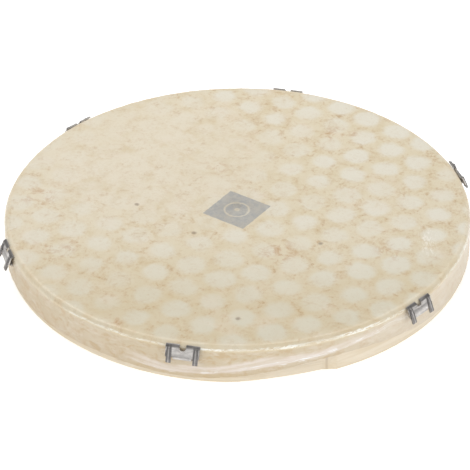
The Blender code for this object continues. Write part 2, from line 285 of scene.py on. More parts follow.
def printed_label(shader, vector):
    """(mask of a worn grey square, mask of the plain ring and dot left blank in it)."""
    ragged = shader.shifted(vector, 1.6 * MM, 0.7 * MM, seed=3.0)
    x, y, _ = shader.split(ragged)
    x, y = shader.math("SUBTRACT", x, LABEL_CENTRE[0]), shader.math("SUBTRACT", y, LABEL_CENTRE[1])
    cosine, sine = math.cos(LABEL_TURN), math.sin(LABEL_TURN)
    u = shader.math("ABSOLUTE", shader.add(shader.times(x, cosine), shader.times(y, sine)))
    v = shader.math("ABSOLUTE", shader.add(shader.times(y, cosine), shader.times(x, -sine)))
    side = shader.math("MAXIMUM", u, v)
    square = shader.step(side, LABEL_HALF - 0.3 * MM, LABEL_HALF + 0.3 * MM, 1.0, 0.0)
    distance = shader.length(x, y)
    off_ring = shader.math("ABSOLUTE", shader.math("SUBTRACT", distance, LABEL_RING_R))
    ring = shader.step(off_ring, 0.1 * LABEL_LINE, 1.0 * LABEL_LINE, 1.0, 0.0)
    dot = shader.step(distance, 1.6 * MM, 3.4 * MM, 1.0, 0.0)
    return square, shader.math("MAXIMUM", ring, dot)


def line_height(shader, along, points):
    """Height of a line on the side wall that climbs through (degrees, height in mm) points."""
    total = points[0][1] * MM
    for (deg, low), (next_deg, high) in zip(points, points[1:]):
        start, end = at_degrees(deg), at_degrees(next_deg)
        share = shader.math("DIVIDE", shader.add(along, -start), end - start, clamp=True)
        total = shader.add(shader.times(share, (high - low) * MM), total)
    return total


def at_degrees(deg):
    """Length along the rim of a direction in degrees."""
    return math.radians(deg) * HEAD_R


def drawn_crease(shader, along, height):
    """(mask of the painted sheen, a pale band on the skirt, mask of the painted glints, bright broken
    lines in it).
    """
    sway = shader.sway(along, 15 * MM, 2 * MM, 0.5, seed=27.0)
    off = shader.add(height, shader.times(line_height(shader, along, CREASE_LINE), -1.0), sway)
    here = arc_mask(shader, along, *CREASE_ARC)
    reach = shader.noise(shader.join(shader.times(along, 0.5), 0.0), 9 * MM, 3.0, 0.6, seed=32.0)
    top = shader.step(reach, 0.35, 0.65, 6.0 * MM, 11.0 * MM)
    under_top = shader.step(shader.math("DIVIDE", off, top), 0.55, 1.0, 1.0, 0.0)
    band = shader.times(shader.step(off, -2.2 * MM, 0.2 * MM), under_top)
    drawn_out = shader.join(shader.times(along, 0.09), off)
    veils = shader.noise(drawn_out, 2.0 * MM, 4.0, 0.65, 0.3, seed=28.0)
    milky_sheen = shader.times(band, here, shader.step(veils, 0.36, 0.6, 0.42, 1.0))
    drawn_out = shader.join(shader.times(along, 0.05), off)
    thread_glints = shader.noise(drawn_out, 0.55 * MM, 2.0, 0.5, 0.2, seed=33.0)
    gaps = shader.noise(shader.join(along, shader.times(off, 3.0)), 7 * MM, 3.0, 0.7, seed=34.0)
    broken = shader.step(gaps, 0.42, 0.54)
    close = shader.step(shader.math("ABSOLUTE", off), 0.8 * MM, 3.2 * MM, 1.0, 0.0)
    right = shader.step(along, at_degrees(-100), at_degrees(-70), 0.45, 1.0)
    return milky_sheen, shader.times(shader.step(thread_glints, 0.5, 0.58), broken, close, here, right)


def arc_mask(shader, along, start_deg, end_deg, soft_deg):
    """1 between two directions round the drum, fading over soft_deg at each end."""
    start, end, soft = (at_degrees(deg) for deg in (start_deg, end_deg, soft_deg))
    rise = shader.step(along, start - soft, start + soft)
    return shader.times(rise, shader.step(along, end - soft, end + soft, 1.0, 0.0))


def pale_discs(shader, point, on_top):
    """(strength of the disc pattern here, mask of the discs)."""
    x, y, _ = shader.split(point)
    away = shader.length(shader.add(x, -CLEAR_CENTRE[0]), shader.add(y, -CLEAR_CENTRE[1]))
    patchy = shader.noise(point, 40 * MM, 2.0, seed=1.0)
    away = shader.add(away, shader.times(patchy, 80 * MM))
    strength = shader.step(away, CLEAR_NEAR, CLEAR_FAR, 0.1, 1.0)
    strength = shader.times(strength, shader.step(x, -170 * MM, 0.0, 0.8, 1.0))
    wandering = point
    for size, reach, seed in DISC_WANDER:
        wandering = shader.shifted(wandering, size * MM, reach * MM, seed)
    distance = disc_field(shader, wandering)
    swell = shader.noise(point, 24 * MM, 1.0, seed=20.0)
    distance = shader.add(distance, shader.step(swell, 0.3, 0.7, -1.2 * MM, 1.6 * MM))
    disc = shader.step(distance, DISC_R - DISC_SOFT, DISC_R + DISC_SOFT, 1.0, 0.0)
    fade = shader.step(shader.noise(point, 30 * MM, 2.0, seed=21.0), 0.3, 0.6, 0.55, 1.0)
    return strength, shader.times(disc, strength, on_top, fade)


def head_colour(shader, point, on_top):
    """Cream skin with pale discs, tan mottling between them, painted shade towards the front, freckles,
    pores and the label.
    """
    strength, disc = pale_discs(shader, point, on_top)
    broad = shader.noise(point, 60 * MM, 3.0, 0.55, seed=4.0)
    colour = shader.mix(shader.step(broad, 0.35, 0.65), srgb(230, 220, 200), srgb(227, 216, 193))
    colour = shader.mix(shader.times(strength, 0.42), colour, srgb(217, 202, 164))
    # Painted shade: the front of the head, discs too, is coloured darker and greyer, as the light falls
    # from behind.
    clear_of_front_shade = shader.step(shader.split(point)[1], -160 * MM, -20 * MM, 0.0, 1.0)
    colour = shader.mix(shader.times(shader.invert(clear_of_front_shade), 0.7), colour, srgb(210, 194, 160))
    cloud = shader.noise(point, 8 * MM, 5.0, 0.62, 0.3, seed=5.0)
    colour = shader.mix(shader.step(cloud, 0.45, 0.72, 0.0, 0.5), colour, srgb(210, 190, 148))
    pale = shader.mix(clear_of_front_shade, srgb(218, 212, 192), srgb(229, 224, 209))
    colour = shader.mix(shader.times(disc, 0.86), colour, pale)
    blush = shader.noise(point, 11 * MM, 3.0, 0.6, seed=22.0)
    colour = shader.mix(shader.step(blush, 0.5, 0.75, 0.0, 0.3), colour, srgb(231, 217, 199))

    between = shader.invert(shader.times(disc, 0.9))
    web = shader.noise(point, 5 * MM, 6.0, 0.72, 0.8, seed=6.0)
    freckle = shader.noise(point, 1.5 * MM, 4.0, 0.72, 0.3, seed=7.0)
    blend = shader.add(shader.times(web, 0.66), shader.times(freckle, 0.34))
    shown = shader.step(strength, 0.0, 1.0, 0.42, 0.95)
    marks = shader.times(shader.step(blend, 0.47, 0.62), between, shown)
    colour = shader.mix(shader.times(marks, 0.58), colour, srgb(199, 168, 122))
    shown = shader.step(strength, 0.0, 1.0, 0.5, 1.0)
    deep = shader.times(shader.step(blend, 0.56, 0.66), between, shown)
    colour = shader.mix(shader.times(deep, 0.52), colour, srgb(170, 131, 90))
    fine = shader.noise(point, 1.1 * MM, 3.0, 0.7, seed=23.0)
    colour = shader.mix(shader.step(fine, 0.5, 0.75, 0.0, 0.3), colour, srgb(202, 182, 146))

    ragged = shader.shifted(point, 5 * MM, 4 * MM, seed=24.0)
    for centre, size in FRECKLE_PATCHES:
        patch = spot(shader, ragged, centre, size, size * 0.6)
        blotch = shader.times(patch, shader.step(web, 0.46, 0.6))
        colour = shader.mix(shader.times(blotch, 0.34), colour, srgb(188, 142, 100))
    small = shader.shifted(point, 1.5 * MM, 1.0 * MM, seed=25.0)
    for centre in DARK_PORES:
        pore = spot(shader, small, centre, 1.9, 1.1)
        colour = shader.mix(shader.times(pore, 0.6), colour, srgb(122, 100, 80))

    label, blank = printed_label(shader, point)
    wear = shader.noise(point, 2.6 * MM, 5.0, 0.72, 0.4, seed=8.0)
    worn = shader.step(wear, 0.36, 0.62, 1.0, 0.74)
    ink = shader.times(label, worn, shader.invert(shader.times(blank, 0.62)), on_top)
    return shader.mix(shader.times(ink, 0.96), colour, srgb(163, 163, 161))


def side_colour(shader, along, height):
    """The skirt: cream with tan marks and pale streaks along it, and more tan below the crease."""
    unrolled = shader.join(along, shader.times(height, 2.2))
    drift = shader.noise(unrolled, 34 * MM, 3.0, seed=10.0)
    upper = shader.step(height, 6 * MM, 24 * MM)
    colour = shader.mix(upper, srgb(209, 191, 161), srgb(210, 194, 165))
    colour = shader.mix(shader.step(drift, 0.4, 0.75, 0.0, 0.45), colour, srgb(220, 207, 186))
    unrolled = shader.join(along, shader.times(height, 1.5))
    marks = shader.noise(unrolled, 5 * MM, 6.0, 0.72, 0.7, seed=11.0)
    colour = shader.mix(shader.step(marks, 0.46, 0.62, 0.0, 0.7), colour, srgb(201, 174, 133))
    drawn_out = shader.join(shader.times(along, 0.3), height)
    streaks = shader.noise(drawn_out, 2.2 * MM, 4.0, 0.7, 0.4, seed=26.0)
    colour = shader.mix(shader.step(streaks, 0.48, 0.66, 0.0, 0.6), colour, srgb(223, 211, 193))
    low_down = shader.step(height, 8 * MM, 13 * MM, 1.0, 0.0)
    below = shader.times(arc_mask(shader, along, *BELOW_ARC), low_down)
    return shader.mix(shader.times(below, 0.5), colour, srgb(209, 188, 152))


def rim_glints(shader, along, radius, height):
    """Painted highlight: broken bright glints in a line along the rim, strongest at the front."""
    across = (shader.times(height, 1.5), shader.times(radius, 1.5))
    drawn_out = shader.join(shader.times(along, 0.34), *across)
    flecks = shader.step(shader.noise(drawn_out, 1.2 * MM, 4.0, 0.75, 0.6, seed=29.0), 0.46, 0.51)
    sway = shader.sway(along, 9 * MM, 1.5 * MM, 0.7, seed=35.0)
    off_line = shader.math("ABSOLUTE", shader.add(height, sway, -GLINT_Z))
    wide = shader.step(along, at_degrees(-100), at_degrees(-72), 0.75, 1.25)
    line = shader.step(shader.math("DIVIDE", off_line, wide), 0.7 * MM, 1.3 * MM, 1.0, 0.0)
    patches = shader.noise(shader.join(along, 0.0), 16 * MM, 2.0, seed=30.0)
    faint = shader.times(arc_mask(shader, along, *FAINT_GLINT_ARC), 0.7)
    reach = shader.add(arc_mask(shader, along, *GLINT_ARC), faint)
    return shader.times(flecks, line, reach, shader.step(patches, 0.36, 0.52, 0.4, 1.0))


def rawhide():
    """The head's outer face: printed, mottled top, plainer skirt, the marks that cross both, and
    painted sheen and glints on the skirt and rim.
    """
    shader = Shader("rawhide")
    point = shader.place()
    along, radius, height = shader.around(point)
    on_top = shader.step(height, 29.6 * MM, 32.4 * MM)
    side = side_colour(shader, along, height)
    colour = shader.mix(on_top, side, head_colour(shader, point, on_top))

    milky_sheen, thread_glints = drawn_crease(shader, along, height)
    off_top = shader.step(height, 24 * MM, 29 * MM, 1.0, 0.0)
    # Painted sheen: a pale veil along the crease on the skirt.
    colour = shader.mix(shader.times(milky_sheen, off_top, 0.85), colour, srgb(236, 226, 217))
    crease = shader.times(thread_glints, shader.step(height, 28 * MM, 31 * MM, 1.0, 0.0))
    # Painted highlight: near white glints in broken lines along the crease.
    colour = shader.mix(crease, colour, srgb(255, 255, 255))
    # Painted sheen: a pale veil over the skirt on the right of the drum.
    film_sheen = shader.times(arc_mask(shader, along, *FILM_SHEEN_ARC), shader.invert(on_top))
    colour = shader.mix(shader.times(film_sheen, 0.46), colour, srgb(234, 225, 211))
    # Painted light: the outer edge of the top is lifted paler, where the rounded rim would otherwise
    # look dim.
    out_there = shader.step(radius, 194 * MM, 197 * MM)
    rim_light_lift = shader.times(shader.step(height, 30 * MM, 32.5 * MM), out_there)
    colour = shader.mix(shader.times(rim_light_lift, 0.34), colour, srgb(244, 228, 199))
    # Painted highlight: the rim's glints in near white.
    colour = shader.mix(rim_glints(shader, along, radius, height), colour, srgb(255, 253, 242))
    # Painted highlight: a patch of pale streaky glints on the right of the head.
    streak_glint_point = shader.stretched(point, (2.2, 0.8, 1.0))
    streak_glint_lines = shader.noise(streak_glint_point, 3 * MM, 4.0, 0.75, 0.9, seed=31.0)
    streak_glint_patch = spot(shader, shader.stretched(point, (1.0, 0.35, 1.0)), STREAK_GLINT_AT, 7.0, 5.0)
    streak_glints = shader.times(streak_glint_patch, shader.step(streak_glint_lines, 0.5, 0.6))
    colour = shader.mix(shader.times(streak_glints, 0.7), colour, srgb(246, 240, 228))

    grain = shader.noise(point, 0.8 * MM, 3.0, 0.6, seed=12.0)
    cylinder = shader.join(shader.times(along, 0.5), radius, shader.times(height, 2.2))
    creases = shader.noise(cylinder, 4 * MM, 4.0, 0.62, 0.9, seed=13.0)
    normal = shader.bump(creases, 0.55 * MM, shader.bump(grain, 0.1 * MM))
    out_there = shader.step(radius, 188 * MM, 197 * MM)
    on_rim = shader.times(shader.step(height, 22 * MM, 33 * MM), out_there)
    rough = shader.step(shader.noise(point, 12 * MM, 4.0, 0.6, seed=14.0), 0.3, 0.7, 0.44, 0.6)
    rough = shader.math("SUBTRACT", rough, shader.times(on_rim, 0.22))
    rough = shader.math("SUBTRACT", rough, shader.times(crease, 0.15), clamp=True)
    shader.set(Base_Color=colour, Roughness=rough, Normal=normal)
    return shader.material


def flesh_side():
    """The skin's inner face: duller, veined and fibrous."""
    shader = Shader("rawhide_flesh_side")
    point = shader.place()
    broad = shader.noise(point, 45 * MM, 4.0, 0.6, seed=40.0)
    colour = shader.mix(shader.step(broad, 0.35, 0.65), srgb(214, 198, 168), srgb(202, 182, 148))
    veins = shader.noise(point, 16 * MM, 3.0, 0.6, 1.4, seed=41.0)
    vein = shader.step(shader.math("ABSOLUTE", shader.add(veins, -0.5)), 0.0, 0.035, 1.0, 0.0)
    colour = shader.mix(shader.times(vein, 0.4), colour, srgb(180, 146, 106))
    drawn_out = shader.stretched(point, (1.0, 0.3, 1.0))
    fibres = shader.noise(drawn_out, 1.2 * MM, 4.0, 0.75, 0.6, seed=42.0)
    colour = shader.mix(shader.step(fibres, 0.48, 0.68, 0.0, 0.45), colour, srgb(226, 215, 192))
    normal = shader.bump(fibres, 0.14 * MM)
    rough = shader.step(fibres, 0.35, 0.65, 0.62, 0.78)
    shader.set(Base_Color=colour, Roughness=rough, Normal=normal)
    return shader.material


def bent_wood(name, pale, dark, along_scale=0.08, joint_deg=None):
    """Wood whose grain runs round the drum, with a glue line at joint_deg if it has a lap joint."""
    shader = Shader(name)
    point = shader.place()
    along, radius, height = shader.around(point)
    grain_at = shader.join(shader.times(along, along_scale), radius, height)
    rings = shader.noise(grain_at, 2.6 * MM, 5.0, 0.6, 0.9, seed=1.0)
    pores = shader.noise(shader.stretched(grain_at, (1.2, 3.0, 3.0)), 1.6 * MM, 3.0, 0.7, seed=2.0)
    drawn_out = shader.join(shader.times(along, 0.3), radius, height)
    tone = shader.noise(drawn_out, 30 * MM, 3.0, seed=3.0)
    colour = shader.mix(shader.step(rings, 0.36, 0.64), pale, dark)
    deepest = [c * 0.55 for c in dark[:3]] + [1.0]
    colour = shader.mix(shader.step(pores, 0.58, 0.74, 0.0, 0.45), colour, deepest)
    colour = shader.mix(shader.step(tone, 0.35, 0.7, 0.0, 0.35), colour, pale)
    if joint_deg is not None:
        off_joint = shader.math("ABSOLUTE", shader.add(along, -at_degrees(joint_deg)))
        glue = shader.step(off_joint, 0.2 * MM, 1.6 * MM, 0.26, 0.0)
        colour = shader.mix(glue, colour, srgb(150, 124, 92))
    normal = shader.bump(rings, 0.12 * MM)
    normal = shader.bump(pores, 0.1 * MM, normal)
    rough = shader.step(rings, 0.3, 0.7, 0.42, 0.6)
    shader.set(Base_Color=colour, Roughness=rough, Normal=normal)
    return shader.material


def plated_steel(name, light, dull, roughness, streak=(1.0, 1.0, 1.0)):
    """Zinc-plated or pickled steel: blotchy plating, fine scratches and dull patches."""
    shader = Shader(name)
    point = shader.place()
    bloom = shader.noise(point, 4 * MM, 5.0, 0.65, 0.6, seed=1.0)
    scratch = shader.noise(shader.stretched(point, streak), 0.7 * MM, 3.0, 0.7, seed=2.0)
    colour = shader.mix(shader.step(bloom, 0.35, 0.7), light, dull)
    colour = shader.mix(shader.step(scratch, 0.6, 0.8, 0.0, 0.5), colour, light)
    rough = shader.step(bloom, 0.3, 0.7, roughness - 0.08, roughness + 0.12)
    normal = shader.bump(scratch, 0.05 * MM)
    shader.set(Base_Color=colour, Metallic=1.0, Roughness=rough, Normal=normal)
    return shader.material


# ---------------------------------------------------------------- rawhide head


def skirt_edge(angle):
    """Height of the hand-cut lower edge, as the model cuts it, with small nicks of its own."""
    wander = 1.1 * math.sin(5 * angle + 0.6) + 0.7 * math.sin(9 * angle + 2.0)
    climb = 10 * math.exp(-((math.degrees(half_turn(angle)) + 66) / 20) ** 2)
    spot_at = Vector((math.cos(angle), math.sin(angle), 0.3)) * 24
    nick = 0.55 * noise.fractal(spot_at, 0.8, 2.0, 3)
    return SKIRT_MEAN_Z + (wander * 0.8 + climb + nick) * MM


def half_turn(angle):
    """The same direction between -pi and pi."""
    return (angle + math.pi) % (2 * math.pi) - math.pi


def round_point(radius, angle, height):
    return radius * math.cos(angle), radius * math.sin(angle), height


def snapped(values, targets):
    """values in order, with the nearest one moved onto each target."""
    values = list(values)
    for target in targets:
        nearest = min(range(len(values)), key=lambda n: abs(values[n] - target))
        values[nearest] = target
    return values


def rim_wave(angle, height_share):
    """Fine drying folds round the rim and down the skirt: 0 to 1, 1 deepest."""
    at = Vector((math.cos(angle) * 34, math.sin(angle) * 34, height_share * 1.6))
    return 0.5 + 0.5 * noise.fractal(at, 0.9, 2.0, 3)


def skin_rows():
    """Rows of the head's outer face from the middle out and down: (kind, value)."""
    rows = [("top", r * MM) for r in range(5, 180, 5)]
    rows += [("top", r * MM) for r in (180, 182, 184, 186, 188, 190, 191.5, 193, 194.3)]
    rows += [("arc", math.radians(90 - 90 * i / 8)) for i in range(9)]
    rows += [("side", z * MM) for z in (30, 28.6)]
    rows += [("side", SLOT_HIGH - (SLOT_HIGH - SLOT_LOW) * i / 5) for i in range(6)]
    rows += [("hem", i / 9) for i in range(1, 10)]
    return rows


def skin_point(kind, value, angle, depth):
    """(radius, height) on the head, depth below its outer face."""
    if kind == "top":
        return value, DRUM_H - depth
    if kind == "arc":
        reach = RIM_ROUND - depth
        radius, height = HEAD_R - RIM_ROUND, DRUM_H - RIM_ROUND
        return radius + reach * math.cos(value), height + reach * math.sin(value)
    if kind == "side":
        return HEAD_R - depth, value
    return HEAD_R - depth, SLOT_LOW + (skirt_edge(angle) - SLOT_LOW) * value


def near_claw(angle):
    """1 at a claw, where the head is pressed flat, and 0 away from it."""
    nearest = min(abs(half_turn(angle - station)) for station in STATION_ANGLES)
    return max(0.0, min(1.0, 2 - nearest / math.radians(CLAW_HALF_DEG)))


def hollow(kind, angle, radius, height):
    """How far the outer face lies below the model's own: folds, puckers and a slack membrane."""
    calm = 1 - near_claw(angle)
    if kind == "top":
        at = Vector(round_point(radius, angle, 0)) * 22
        wave = 0.5 + 0.5 * noise.fractal(at, 1.0, 2.0, 2)
        fold = rim_wave(angle, 0.0) * max(0.0, (radius - FOLD_START) / FOLD_REACH) ** 2
        return SLACK * wave * min(1.0, (HEAD_R - radius) / (12 * MM)) + FOLD_DEPTH * fold * calm
    share = (DRUM_H - height) / DRUM_H
    return FOLD_DEPTH * rim_wave(angle, share * 8) * (0.15 + 0.85 * calm)


def make_head():
    """The skin: an outer and an inner face, joined along the hem and the claws' slots."""
    slot_half = math.asin(SLOT_W / 2 / HEAD_R)
    columns = HEAD_COLUMNS
    angles = [2 * math.pi * i / columns - math.pi for i in range(columns)]
    slots = [half_turn(angle) for angle in STATION_ANGLES]
    slot_edges = [half_turn(slot + side * slot_half) for slot in slots for side in (-1, 1)]
    angles = snapped(angles, slot_edges)
    rows = skin_rows()
    bm = bmesh.new()

    def in_slot(row, column):
        (kind, value), (next_kind, _) = rows[row], rows[row + 1]
        if kind != "side" or next_kind != "side" or value > SLOT_HIGH + 0.01 * MM:
            return False
        middle_angle = (angles[column] + angles[(column + 1) % columns]) / 2
        return any(abs(middle_angle - slot) < slot_half for slot in slots)

    faces = {}
    for face_depth in (0.0, SKIN_T):
        grid = []
        for kind, value in rows:
            ring = []
            for angle in angles:
                radius, height = skin_point(kind, value, angle, face_depth)
                sunk = hollow(kind, angle, radius, height) if face_depth == 0 else 0.0
                radius, height = skin_point(kind, value, angle, face_depth + sunk)
                if kind == "hem":
                    radius += 0.5 * rim_wave(angle, 3.0) * value**3 * MM
                ring.append(bm.verts.new(round_point(radius, angle, height)))
            grid.append(ring)
        centre = bm.verts.new((0, 0, DRUM_H - face_depth))
        faces[face_depth] = (grid, centre)

    for face_depth, (grid, centre) in faces.items():
        flip = face_depth > 0
        for column in range(columns):
            after = (column + 1) % columns
            corners = [centre, grid[0][column], grid[0][after]]
            bm.faces.new(corners[::-1] if flip else corners).material_index = int(flip)
            for row in range(len(rows) - 1):
                if in_slot(row, column):
                    continue
                here, under = grid[row], grid[row + 1]
                corners = [here[column], under[column], under[after], here[after]]
                bm.faces.new(corners[::-1] if flip else corners).material_index = int(flip)
    outer, inner = faces[0.0][0], faces[SKIN_T][0]
    twin = {}
    for outer_ring, inner_ring in zip(outer, inner):
        twin.update(zip(outer_ring, inner_ring))
    outer_verts = set(twin)
    for edge in [e for e in bm.edges if len(e.link_faces) == 1 and set(e.verts) <= outer_verts]:
        loop = edge.link_loops[0]
        first, second = loop.vert, loop.link_loop_next.vert
        bm.faces.new([second, first, twin[first], twin[second]])
    bmesh.ops.delete(bm, geom=[v for v in bm.verts if not v.link_faces], context="VERTS")
    mesh = bpy.data.meshes.new("rawhide_skin")
    bm.to_mesh(mesh)
    bm.free()
    mesh.shade_smooth()
    mesh.set_sharp_from_angle(angle=math.radians(50))
    head = bpy.data.objects.new("rawhide_skin", mesh)
    bpy.context.scene.collection.objects.link(head)
    mesh.materials.append(rawhide())
    mesh.materials.append(flesh_side())
    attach(head, "frame")
    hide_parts("rawhide_head")
    return head


# ---------------------------------------------------------------- claws and screws

KNEE = (201.3 * MM, 33.5 * MM)
PLATE_SLOPE = math.radians(23)
LEG_MIDDLE = 10.8 * MM  # from the claw's own middle to the middle of each leg
LEG_HALF = 2.0 * MM
BEAD_R = 1.5 * MM
BEAD_SPAN = (0.4 * MM, 12.4 * MM)  # down the plate from the knee
BEAD_SUNK = 0.95 * MM
THREAD_PITCH = 1.0 * MM
THREAD_DEPTH = 0.42 * MM
THREAD_R = 3 * MM
CAP_R = 5 * MM
CAP_H = 5.4 * MM
KNURLS = 24
KNURL_DEPTH = 0.14 * MM
SOCKET_R = 2.5 * MM  # half the socket's width across flats
SOCKET_DEPTH = 3 * MM
SCREW_COLUMNS = 48


def turned(angle):
    return Matrix.Rotation(angle, 4, "Z")


def down_plate(distance, proud):
    """A point of the claw's plate, distance below the knee on its slope and proud of its inner face."""
    return Vector((
        KNEE[0] + distance * math.sin(PLATE_SLOPE) + proud * math.cos(PLATE_SLOPE),
        0.0,
        KNEE[1] - distance * math.cos(PLATE_SLOPE) + proud * math.sin(PLATE_SLOPE),
    ))


def add_mesh(name, bm, smooth_deg=40):
    """An object made from bm, shaded smooth but for edges sharper than smooth_deg."""
    bmesh.ops.recalc_face_normals(bm, faces=bm.faces)
    mesh = bpy.data.meshes.new(name)
    bm.to_mesh(mesh)
    bm.free()
    mesh.shade_smooth()
    mesh.set_sharp_from_angle(angle=math.radians(smooth_deg))
    obj = bpy.data.objects.new(name, mesh)
    bpy.context.scene.collection.objects.link(obj)
    return obj


def applied(obj, name):
    """The mesh of obj with its modifiers worked in; obj goes."""
    bpy.context.view_layer.update()
    graph = bpy.context.evaluated_depsgraph_get()
    mesh = bpy.data.meshes.new_from_object(obj.evaluated_get(graph))
    mesh.name = name
    bpy.data.objects.remove(obj)
    return mesh


def own_frame_copy(node, angle):
    """A welded bmesh of a CAD node, turned back into its station's own X-Z plane."""
    bm = bmesh.new()
    bm.from_mesh(nodes[node].data)
    bmesh.ops.remove_doubles(bm, verts=bm.verts, dist=0.005 * MM)
    bmesh.ops.transform(bm, matrix=turned(-angle), verts=bm.verts)
    bmesh.ops.dissolve_limit(bm, angle_limit=math.radians(1.0), verts=bm.verts, edges=bm.edges)
    return bm


def bead(side):
    """The half-round bead pressed into one leg, from the knee to the leg's tip."""
    start, end = down_plate(BEAD_SPAN[0], BEAD_SUNK), down_plate(BEAD_SPAN[1], BEAD_SUNK)
    bm = bmesh.new()
    bmesh.ops.create_uvsphere(bm, u_segments=16, v_segments=12, radius=BEAD_R)
    length = (end - start).length - 2 * BEAD_R
    for vert in bm.verts:
        vert.co.z += math.copysign(length / 2, vert.co.z) if abs(vert.co.z) > 1e-7 else length / 2
    lean = (end - start).to_track_quat("Z", "Y").to_matrix().to_4x4()
    at = (start + end) / 2 + Vector((0, side * LEG_MIDDLE, 0))
    bmesh.ops.transform(bm, matrix=Matrix.Translation(at) @ lean, verts=bm.verts)
    return bm


def claw_steel():
    """Pickled sheet steel with light wear: painted shade where it is bent over the rim and on the legs
    beside the beads.
    """
    shader = Shader("claw_steel")
    point = shader.place()
    x, y, z = shader.split(point)
    bloom = shader.noise(point, 3 * MM, 5.0, 0.65, 0.6, seed=1.0)
    scratch = shader.noise(shader.stretched(point, (1.0, 0.25, 1.0)), 0.45 * MM, 4.0, 0.7, seed=2.0)
    wander = shader.times(shader.add(bloom, -0.5), 0.8 * MM)
    colour = shader.mix(shader.step(bloom, 0.35, 0.68), srgb(212, 208, 204), srgb(184, 180, 176))
    # Painted shade on the legs' outer faces beside the beads, lighter along each bead's crest.
    off_leg = shader.math("SUBTRACT", shader.math("ABSOLUTE", y), LEG_MIDDLE)
    off_leg = shader.add(shader.math("ABSOLUTE", off_leg), wander)
    on_leg = shader.step(off_leg, LEG_HALF - 0.2 * MM, LEG_HALF + 0.5 * MM, 1.0, 0.0)
    outside = shader.step(x, HEAD_R + 0.2 * MM, HEAD_R + 0.9 * MM)
    crest = shader.step(off_leg, 0.2 * MM, 0.7 * MM, 1.0, 0.0)
    leg_shade = shader.times(on_leg, outside, shader.add(0.9, shader.times(crest, -0.62)))
    colour = shader.mix(leg_shade, colour, srgb(118, 115, 114))
    # Painted shade on the finger bent over the rim, deepest at its outer bend.
    bend = shader.step(x, 199.5 * MM, 200.6 * MM, 0.35, 1.0)
    finger_shade = shader.times(shader.step(shader.add(z, wander), 33.4 * MM, 34.3 * MM), bend)
    colour = shader.mix(shader.times(finger_shade, 0.84), colour, srgb(116, 113, 111))
    colour = shader.mix(shader.step(scratch, 0.58, 0.76, 0.0, 0.5), colour, srgb(216, 213, 210))
    rust = shader.noise(point, 1.8 * MM, 4.0, 0.7, seed=3.0)
    near_notch = shader.step(shader.math("ABSOLUTE", y), 2.5 * MM, 4.2 * MM, 1.0, 0.0)
    high_up = shader.step(z, 29 * MM, 31 * MM)
    rust = shader.times(shader.step(rust, 0.52, 0.66), near_notch, high_up, 0.7)
    colour = shader.mix(rust, colour, srgb(118, 92, 78))
    rough = shader.step(bloom, 0.3, 0.7, 0.36, 0.54)
    normal = shader.bump(scratch, 0.05 * MM)
    shader.set(Base_Color=colour, Metallic=0.85, Roughness=rough, Normal=normal)
    return shader.material


def make_claws():
    """Six claws that share one mesh: the model's claw with beaded legs and softened edges."""
    obj = add_mesh("claw_shape", own_frame_copy("claw_1", STATION_ANGLES[0]))
    helpers = []
    for side in (-1, 1):
        helper = add_mesh(f"claw_bead_{side}", bead(side))
        union = obj.modifiers.new("bead", "BOOLEAN")
        union.operation, union.solver, union.object = "UNION", "EXACT", helper
        helpers.append(helper)
    edges = obj.modifiers.new("edges", "BEVEL")
    edges.width, edges.segments, edges.limit_method = 0.18 * MM, 2, "ANGLE"
    edges.angle_limit = math.radians(50)
    mesh = applied(obj, "claw_shape")
    for helper in helpers:
        bpy.data.objects.remove(helper)
    mesh.materials.clear()
    mesh.materials.append(claw_steel())
    mesh.shade_smooth()
    mesh.set_sharp_from_angle(angle=math.radians(60))
    for number, angle in enumerate(STATION_ANGLES, 1):
        claw = bpy.data.objects.new(f"pressed_claw_{number}", mesh)
        claw.matrix_world = turned(angle)
        bpy.context.scene.collection.objects.link(claw)
        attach(claw, f"claw_{number}_body")
        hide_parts(f"claw_{number}")


def revolved(rows, columns):
    """A closed body turned round Z. Each row gives (radius, height) at an angle."""
    bm = bmesh.new()
    rings = []
    for row in rows:
        ring = []
        for column in range(columns):
            angle = 2 * math.pi * column / columns
            radius, height = row(angle)
            ring.append(bm.verts.new(round_point(radius, angle, height)))
        rings.append(ring)
    for lower, upper in zip(rings, rings[1:]):
        for column in range(columns):
            after = (column + 1) % columns
            bm.faces.new([lower[column], lower[after], upper[after], upper[column]])
    bm.faces.new(rings[0][::-1])
    bm.faces.new(rings[-1])
    return bm


